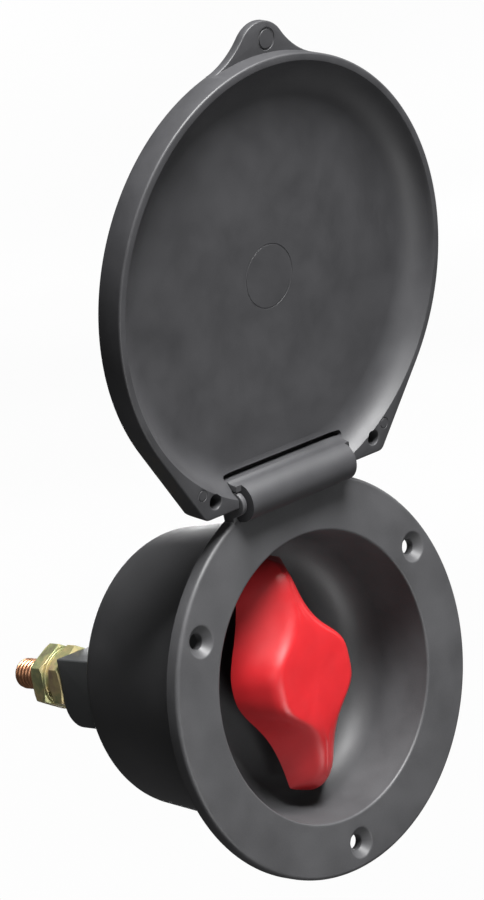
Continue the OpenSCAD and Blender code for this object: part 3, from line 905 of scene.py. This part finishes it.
def make_lid():
    """The dished lid with its tab, barrel, slot, ear holes and moulding marks."""
    lid = to_object(skin(lid_rings()), "weather_lid")
    tab = prism(tab_outline(), LID_T - TAB_T, LID_T - TAB_STEP, 0.35, 3)
    web = moved(prism(barrel_outline(), -HINGE_HALF, HINGE_HALF, 0.25), across_lid())
    combine(lid, [tab, web], "UNION")
    gap_high = HINGE_HALF + 0.3
    cutters = [
        lug_pocket(BARREL_HALF, gap_high),
        lug_pocket(-gap_high, -BARREL_HALF),
        pin_bore(),
    ]
    for side in (-1, 1):
        hole_x = side * EAR_HOLE[0]
        cutters.append(blind_hole(hole_x, EAR_HOLE[1], EAR_HOLE_R, EAR_HOLE_DEPTH))
        ear_mark = (side * EAR_MARK[0], EAR_MARK[1])
        cutters.append(round_mark(ear_mark, 0, EAR_MARK_R, 0.2, 40))
    cutters.append(slot_cutter())
    cutters.append(round_mark(GATE_MARK, DISH_DEPTH, GATE_MARK_R, 0.17, 96))
    cutters.append(round_mark(TAB_MARK, LID_T - TAB_T, TAB_MARK_R, 0.34, 56))
    combine(lid, cutters, "DIFFERENCE")
    lid.data.transform(lid_matrix())
    # The lid gets the darker copy of the charcoal plastic, whose lower tone is painted shade.
    finish_piece(lid, "lid", MATERIALS["lid_plastic_painted_shade"], ["lid"])


# ---- hinge pin ----


def make_hinge_pin():
    """A plain steel pin, held by both lugs."""
    end = HINGE_HALF - 0.02
    profile = rounded([(0, -end, 0), (PIN_R, -end, 0.35), (PIN_R, end, 0.35), (0, end, 0)])
    pin = to_object(
        lathe(profile, 40),
        "hinge_pin_steel",
        Matrix.Translation((0, HINGE_Y, HINGE_Z)) @ along_x_turn(),
    )
    finish_piece(pin, "base", MATERIALS["steel"], ["hinge_pin"])


# ---- knob ----


def crown_half(z):
    """Half width of the crown: a wide middle that falls off to two narrow tips."""
    spread = (abs(z) / CROWN_BEND_Z) ** CROWN_POWER
    return CROWN_TIP + (CROWN_HALF - CROWN_TIP) / (1 + spread)


def skirt_half(s):
    """Half width of the foot, which is fuller on the side where s is positive."""
    past = s - FOOT_SHIFT
    if past > 0:
        spread = (past / FOOT_FULL_Z) ** FOOT_FULL_POWER
    else:
        spread = (-past / FOOT_LEAN_Z) ** FOOT_LEAN_POWER
    return FOOT_TIP + FOOT_BULGE / (1 + spread)


def tip_round(z, reach, radius):
    """Share of the half width that is left near a rounded tip."""
    past = abs(z) - (reach - radius)
    if past < 0:
        return 1
    return math.sqrt(max(0, 1 - (past / radius) ** 2))


def tip_cut(x, z, reach):
    """On its leaner side the end of each tip slants back."""
    if x * z < 0:
        return z
    return z - math.copysign(TIP_SLANT * abs(x) * (abs(z) / reach) ** 8, z)


def crown_drop(z):
    """How far the crown, flat in the middle, falls away towards the knob's tips."""
    past = abs(z) - CROWN_FLAT
    return CROWN_SLOPE / 2 * (math.hypot(past, CROWN_BEND) + past)


def crown_point(side, half, radius, z, reach):
    """A point on the crown, which leans over a little towards its tips."""
    x = side * half * tip_round(z, reach, radius)
    height = KNOB_SKIRT_Y - KNOB_CROWN_Y - crown_drop(z)
    y = KNOB_SKIRT_Y - height * tip_round(z, KNOB_HALF, TIP_END_R)
    return Vector((x + CROWN_SKEW * z, y, tip_cut(x, z, reach)))


def knob_section(angle):
    """Skirt point, crown edge point and crown inner point of the knob at one angle round it."""
    c, s = math.cos(angle), math.sin(angle)
    side = 1 if c >= 0 else -1
    crowding = 0.18
    spread = s * (1 - crowding * c * c)
    crown_reach = KNOB_HALF - CROWN_SETBACK
    inner_reach = crown_reach - CROWN_BORDER
    skirt_z = KNOB_HALF * spread
    crown_z = crown_reach * spread
    inner_z = inner_reach * spread
    tip_r = TIP_FULL_R if side * skirt_z < 0 else TIP_LEAN_R
    skirt_x = side * skirt_half(-side * skirt_z) * tip_round(skirt_z, KNOB_HALF, tip_r)
    inner_half = max(0.4, crown_half(inner_z) - CROWN_ROLL)
    return (
        Vector((skirt_x, KNOB_SKIRT_Y, tip_cut(skirt_x, skirt_z, KNOB_HALF))),
        crown_point(side, crown_half(crown_z), TIP_CROWN_R, crown_z, crown_reach),
        crown_point(side, inner_half, TIP_INNER_R, inner_z, inner_reach),
    )


def knob_rings():
    """Rings from the foot, up the flared sides and over the crown's edge to its middle."""
    turns = [(k + 0.5) / KNOB_STEPS for k in range(KNOB_STEPS)]
    sections = [knob_section(2 * math.pi * turn) for turn in turns]
    foot = Vector((0, 0.7, 0))
    rings = [[skirt * 0.5 + Vector((0, KNOB_SKIRT_Y / 2, 0)) for skirt, _, _ in sections]]
    rings.append([skirt - (skirt - foot).normalized() * 0.6 for skirt, _, _ in sections])
    for share in (0.02, 0.1, 0.2, 0.3, 0.4, 0.5, 0.6, 0.68):
        rings.append([skirt.lerp(crown, share) for skirt, crown, _ in sections])
    for k in range(1, 11):
        t = k / 10
        rings.append(
            [
                skirt.lerp(crown, 0.72) * (1 - t) ** 2 + crown * 2 * t * (1 - t) + inner * t * t
                for skirt, crown, inner in sections
            ]
        )
    for share in (0.8, 0.6, 0.4, 0.2):
        ring = []
        for _, _, inner in sections:
            dome = CROWN_DOME * (1 - share * share)
            middle = CROWN_SKEW * inner.z
            across = middle + (inner.x - middle) * share
            ring.append(Vector((across, inner.y - dome, inner.z)))
        rings.append(ring)
    return rings


def close_lengthwise(bm, ring):
    """Fills a narrow ring with faces across it, from one end to the other."""
    half = len(ring) // 2
    start = len(ring) // 4
    order = ring[start:] + ring[:start]
    for k in range(half - 1):
        bm.faces.new((order[k], order[k + 1], order[-k - 2], order[-k - 1]))


def make_knob():
    """The red knob, with a hub behind it and a hole for the spindle."""
    lean = Matrix.Rotation(KNOB_LEAN, 4, "Y")
    shell = skin(knob_rings(), cap_last=False)
    shell.verts.ensure_lookup_table()
    close_lengthwise(shell, shell.verts[-KNOB_STEPS:])
    knob = to_object(shell, "turning_knob", lean)
    hub = rounded(
        [(0, HUB_FRONT, 0), (HUB_R, HUB_FRONT, 0), (HUB_R, HUB_REAR, 0.4), (0, HUB_REAR, 0)]
    )
    combine(knob, [lathe(hub, 64)], "UNION", "EXACT")
    hole = cylinder(SHAFT_HOLE_R, SHAFT_HOLE_FRONT, HUB_REAR + 1.4, 48)
    combine(knob, [hole], "DIFFERENCE", "EXACT")
    finish_piece(knob, "knob", MATERIALS["red_plastic"], ["knob"], sharp=50)


# ---- rear switch ----


def switch_turn():
    """The whole rear switch sits turned a little in the cup."""
    return Matrix.Rotation(SWITCH_LEAN, 4, "Y")


def at_stud(side):
    """From the Y axis to the left stud (side -1) or the right one (side 1)."""
    return switch_turn() @ Matrix.Translation((side * STUD_X, 0, 0))


def tower_outline():
    """Section of a terminal tower: x is the height and y runs to the rear."""
    foot = -TOWER_W / 2 - TOWER_FOOT
    return rounded(
        [
            (foot, BASE_FLANGE_REAR, 0),
            (TOWER_W / 2, BASE_FLANGE_REAR, 0),
            (TOWER_W / 2, TOWER_REAR, 0.6),
            (foot, TOWER_REAR, TOWER_CORNER),
        ],
        steps=8,
    )


def base_profile():
    """Section of the rear moulding, open to the front, with the flange that is screwed on."""
    return rounded(
        [
            (0, CHAMBER_FLOOR, 0),
            (CHAMBER_R, CHAMBER_FLOOR, 0.5),
            (CHAMBER_R, BASE_FRONT, 0),
            (DRUM_R, BASE_FRONT, 0),
            (DRUM_R, CUP_REAR, 0),
            (BASE_FLANGE_R, CUP_REAR, 0.3),
            (BASE_FLANGE_R, BASE_FLANGE_REAR, 0.6),
            (DRUM_R, BASE_FLANGE_REAR, 0.5),
            (DRUM_R, BASE_REAR, 0.5),
            (0, BASE_REAR, 0),
        ],
        steps=4,
    )


def barrier_outline():
    """Section of the wall between the terminals: x is the height and y runs to the rear."""
    return rounded(
        [
            (-BARRIER_HALF, BASE_FLANGE_REAR, 0),
            (BARRIER_HALF, BASE_FLANGE_REAR, 0),
            (BARRIER_HALF, TOWER_REAR, 2),
            (-BARRIER_HALF, TOWER_REAR, 2),
        ],
        steps=4,
    )


def base_cutters():
    """Bores for the studs and their heads, and holes for the case and switch screws."""
    inside = CHAMBER_FLOOR - 2
    cutters = []
    for side in (-1, 1):
        place = Matrix.Translation((side * STUD_X, 0, 0))
        cutters.append(moved(cylinder(STUD_BORE_R, inside, TOWER_REAR + 1.8, 48), place))
        head = cylinder(STUD_HEAD_BORE_R, inside, STUD_HEAD_BORE_REAR, 48)
        cutters.append(moved(head, place))
    front = BASE_FRONT - 1
    sink_rear = 71
    stepped = [
        (0, front),
        (CASE_HOLE_R, front),
        (CASE_HOLE_R, CASE_SINK_Y),
        (CASE_SINK_R, CASE_SINK_Y),
        (CASE_SINK_R, sink_rear),
        (0, sink_rear),
    ]
    for angle in CASE_SCREW_ANGLES:
        cutters.append(moved(lathe(stepped, 40), at_angle(CASE_SCREW_R, angle)))
    for angle in SWITCH_SCREW_ANGLES:
        hole = cylinder(SWITCH_HOLE_R, CUP_REAR - 1, BASE_FLANGE_REAR + 1, 32)
        cutters.append(moved(hole, at_angle(SWITCH_SCREW_R, angle)))
    return cutters


def make_switch_base():
    """The rear moulding: a flanged drum end, two terminal towers and the wall between them."""
    base = to_object(lathe(base_profile(), 128), "switch_base_moulding")
    blocks = [
        moved(
            prism(tower_outline(), x - TOWER_W / 2, x + TOWER_W / 2, 0.5), section_along_x()
        )
        for x in (-STUD_X, STUD_X)
    ]
    barrier = prism(barrier_outline(), -BARRIER_T / 2, BARRIER_T / 2, 0.5)
    blocks.append(moved(barrier, section_along_x()))
    combine(base, blocks, "UNION")
    combine(base, base_cutters(), "DIFFERENCE")
    base.data.transform(switch_turn())
    finish_piece(base, "base", MATERIALS["grey_plastic"], ["switch_base"])


def make_screws(name, node, radius, angles, tip, head):
    """Cheese-head screws along Y, whose heads' rear faces are at head."""
    seat = head - SCREW_HEAD_T
    half = SCREW_SLOT_W / 2
    past = SCREW_HEAD_R + 1.2
    slot_outline = [(-half, -past), (half, -past), (half, past), (-half, past)]
    for number, angle in enumerate(angles, 1):
        profile = rounded(
            [(0, tip, 0), (SCREW_SHANK_R, tip, 0.4), (SCREW_SHANK_R, seat, 0.15),
             (SCREW_HEAD_R, seat, 0.1), (SCREW_HEAD_R, head, 0.5), (0, head, 0)],
            steps=4,
        )
        screw = to_object(lathe(profile, 48), f"{name}_{number}")
        slot = prism(slot_outline, head - SCREW_SLOT_DEPTH, head + 1, 0.05)
        turned = Matrix.Rotation(math.radians(37 * number), 4, "Y") @ standing_up()
        combine(screw, [moved(slot, turned)], "DIFFERENCE")
        screw.data.transform(switch_turn() @ at_angle(radius, angle))
        finish_piece(screw, "base", MATERIALS["steel"], [node])


# ---- terminals ----


def stud_radius(y, angle):
    """Radius of the stud: plain inside the switch, threaded where it is free."""
    if y < THREAD_START:
        return STUD_SHANK_R
    wave = 0.5 + 0.5 * math.cos(2 * math.pi * y / THREAD_PITCH - angle)
    crest = STUD_TIP_R - THREAD_DEPTH * (1 - wave) ** 1.3
    past = y - (STUD_END - STUD_TIP_ROUND)
    if past > 0:
        tip = math.sqrt(max(0, STUD_TIP_ROUND**2 - past**2))
        crest = min(crest, STUD_TIP_R - STUD_TIP_ROUND + tip)
    return crest


def make_stud(side, name, node):
    """A copper stud with a round head inside the switch and a rounded, threaded end."""
    head_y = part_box(node)[0].y / MM
    steps = 48
    angles = [2 * math.pi * k / steps for k in range(steps)]
    head = [
        (STUD_HEAD_R - 0.4, head_y),
        (STUD_HEAD_R, head_y + 0.4),
        (STUD_HEAD_R, head_y + STUD_HEAD_T),
        (STUD_SHANK_R, head_y + STUD_HEAD_T + 0.1),
    ]
    rings = [[(0, head_y, 0)]]
    for radius, y in head:
        rings.append([(radius * math.cos(a), y, radius * math.sin(a)) for a in angles])
    free = THREAD_START + 0.01
    levels = [free - 0.02]
    levels += [free + (STUD_END - free) * k / THREAD_STEPS for k in range(THREAD_STEPS)]
    for y in levels:
        rings.append(
            [(stud_radius(y, a) * math.cos(a), y, stud_radius(y, a) * math.sin(a)) for a in angles]
        )
    rings.append([(0, STUD_END, 0)])
    stud = to_object(skin(rings), name, at_stud(side))
    finish_piece(stud, "base", MATERIALS["copper"], [node], sharp=60)


def make_nut(name, node, side, y0, chamfer):
    """A hexagon nut with chamfered corners on both faces and a countersunk thread."""
    corner_r = NUT_FLATS / math.sqrt(3)
    hexagon = rounded(
        [
            (corner_r * math.cos(math.radians(a)), corner_r * math.sin(math.radians(a)), 0.35)
            for a in range(30, 390, 60)
        ],
        steps=3,
    )
    nut = to_object(moved(prism(hexagon, y0, y0 + NUT_T, 0.1, 1), standing_up()), name)
    face_r = corner_r - chamfer / math.tan(math.radians(30))
    past_corner = corner_r + 0.5
    slope_end = chamfer + 0.3
    y1 = y0 + NUT_T
    cone = [
        (0, y0 - 0.01),
        (face_r, y0 - 0.01),
        (past_corner, y0 + slope_end),
        (past_corner, y1 - slope_end),
        (face_r, y1 + 0.01),
        (0, y1 + 0.01),
    ]
    combine(nut, [lathe(cone, 96)], "INTERSECT")
    bore = [
        (0, y0 - 1),
        (NUT_SINK_R, y0 - 1),
        (NUT_SINK_R, y0 - 0.001),
        (NUT_BORE_R, y0 + NUT_SINK_DEPTH),
        (NUT_BORE_R, y1 - NUT_SINK_DEPTH),
        (NUT_SINK_R, y1 + 0.001),
        (NUT_SINK_R, y1 + 1),
        (0, y1 + 1),
    ]
    combine(nut, [lathe(bore, 64)], "DIFFERENCE")
    nut.data.transform(at_stud(side))
    finish_piece(nut, "base", MATERIALS["yellow_zinc"], [node], sharp=25)


def make_flat_washer(name, side):
    """A flat washer with softened edges."""
    rear = FLAT_WASHER_Y + FLAT_WASHER_T
    profile = rounded(
        [(FLAT_WASHER_BORE_R, FLAT_WASHER_Y, 0.1), (FLAT_WASHER_R, FLAT_WASHER_Y, 0.25),
         (FLAT_WASHER_R, rear, 0.25), (FLAT_WASHER_BORE_R, rear, 0.1)],
        steps=3,
    )
    washer = to_object(lathe(profile, 96, closed=True), name, at_stud(side))
    finish_piece(washer, "base", MATERIALS["yellow_zinc"], ["flat_washers"])


def make_lock_washer(name, side):
    """A split spring washer: one turn of square wire with a gap."""
    section = rounded(
        [(LOCK_WASHER_BORE_R, 0, 0.2), (LOCK_WASHER_R, 0, 0.3),
         (LOCK_WASHER_R, LOCK_WASHER_T, 0.3), (LOCK_WASHER_BORE_R, LOCK_WASHER_T, 0.2)],
        steps=3,
    )
    start = LOCK_WASHER_TURN + LOCK_WASHER_GAP / 2
    rings = []
    for k in range(91):
        a = math.radians(start + (360 - LOCK_WASHER_GAP) * k / 90)
        rings.append(
            [(r * math.cos(a), LOCK_WASHER_Y + y, r * math.sin(a)) for r, y in section]
        )
    washer = to_object(skin(rings), name, at_stud(side))
    finish_piece(washer, "base", MATERIALS["yellow_zinc"], ["lock_washers"])


def make_terminals():
    """The left and right terminal, each with its stud, nuts and washers."""
    for side, word in ((-1, "left"), (1, "right")):
        make_stud(side, f"terminal_stud_{word}", f"stud_{word}")
        make_nut(f"inner_nut_{word}", "inner_nuts", side, TOWER_REAR, 0.9)
        make_lock_washer(f"lock_washer_{word}", side)
        make_flat_washer(f"flat_washer_{word}", side)
        make_nut(f"outer_nut_{word}", "outer_nuts", side, OUTER_NUT_Y, 0.6)


# ---- the pieces that keep their CAD shape ----


def paint_cad_nodes():
    """Gives each CAD node that is still shown the material of its slot."""
    slots = {s["node"]: s["material_slot"] for s in frame["record"]["subparts"]}
    for name, node in frame["nodes"].items():
        slot = slots[name]
        node.data.materials.clear()
        node.data.materials.append(MATERIALS[slot])


# ---- studio ----


def make_floor():
    """A pale floor that curves up into a round wall, so that it is even from every side."""
    bend = (STUDIO_R - STUDIO_CURVE_R, STUDIO_CURVE_R)
    curve = arc(bend, STUDIO_CURVE_R, -90, 0, 12)
    bm = bmesh.new()
    rings = [[bm.verts.new((0, 0, 0))]]
    turns = [2 * math.pi * k / 96 for k in range(96)]
    for radius, height in [(1, 0)] + curve + [(STUDIO_R, STUDIO_WALL)]:
        rings.append(
            [bm.verts.new((radius * math.cos(a), radius * math.sin(a), height)) for a in turns]
        )
    for ring, following in zip(rings, rings[1:]):
        join_rings(bm, ring, following)
    mesh = bpy.data.meshes.new("studio_floor")
    bm.to_mesh(mesh)
    bm.free()
    mesh.shade_smooth()
    floor = bpy.data.objects.new("studio_floor", mesh)
    floor.location = (0, 0, FLOOR_Z)
    bpy.context.scene.collection.objects.link(floor)
    m = Nodes("pale_floor")
    tone = m.ramp(m.noise(0.6, 2), [(0.3, (0.97, 0.97, 0.97)), (0.7, (1, 1, 1))])
    m.link(tone, m.shader.inputs["Emission Color"])
    m.set(Emission_Strength=1.0, Specular_IOR_Level=0.0)
    m.shader.inputs["Base Color"].default_value = (0, 0, 0, 1)
    mesh.materials.append(m.material)
    for ray in ("diffuse", "glossy", "transmission", "shadow"):
        setattr(floor, f"visible_{ray}", False)


def add_softbox(name, at, size, power):
    """A round area light aimed at the object. Its size is in metres and its power in watts."""
    light = bpy.data.lights.new(name, "AREA")
    light.shape = "DISK"
    light.size = size
    light.energy = power
    lamp = bpy.data.objects.new(name, light)
    lamp.location = at
    lamp.rotation_euler = (Vector(at) - Vector(AIM)).to_track_quat("Z", "Y").to_euler()
    bpy.context.scene.collection.objects.link(lamp)


def make_world(strength):
    """An even white world light."""
    world = bpy.data.worlds.new("studio")
    bpy.context.scene.world = world
    world.use_nodes = True
    background = world.node_tree.nodes["Background"]
    background.inputs["Color"].default_value = (1, 1, 1, 1)
    background.inputs["Strength"].default_value = strength


def make_camera():
    """The camera at the photograph's angle."""
    data = bpy.data.cameras.new("camera")
    data.lens = CAMERA_LENS
    data.sensor_width = 36
    data.clip_start = 0.01
    data.clip_end = 60
    camera = bpy.data.objects.new("camera", data)
    camera.location = CAMERA_AT
    camera.rotation_euler = Euler([math.radians(a) for a in CAMERA_TURN], "XYZ")
    bpy.context.scene.collection.objects.link(camera)
    bpy.context.scene.camera = camera


make_camera()
make_floor()
make_world(0.065)
add_softbox("key", (0, -0.46, 0.93), 0.5, 42)
add_softbox("low_fill", (-0.2, -0.85, -0.55), 0.6, 6)
add_softbox("left_fill", (-0.82, -0.48, 0.35), 0.5, 0.8)
add_softbox("right_fill", (0.92, -0.25, 0.35), 0.5, 2.1)
add_softbox("back_fill", (0.9, 1.1, -0.2), 0.8, 14)
bpy.context.scene.view_settings.view_transform = "Standard"

paint_cad_nodes()
make_housing()
make_lid()
make_hinge_pin()
make_knob()
make_switch_base()
make_screws(
    "case_screw",
    "case_screws",
    CASE_SCREW_R,
    CASE_SCREW_ANGLES,
    CASE_SCREW_TIP,
    CASE_SCREW_HEAD,
)
make_screws(
    "switch_screw",
    "switch_screws",
    SWITCH_SCREW_R,
    SWITCH_SCREW_ANGLES,
    SWITCH_SCREW_TIP,
    SWITCH_SCREW_HEAD,
)
make_terminals()
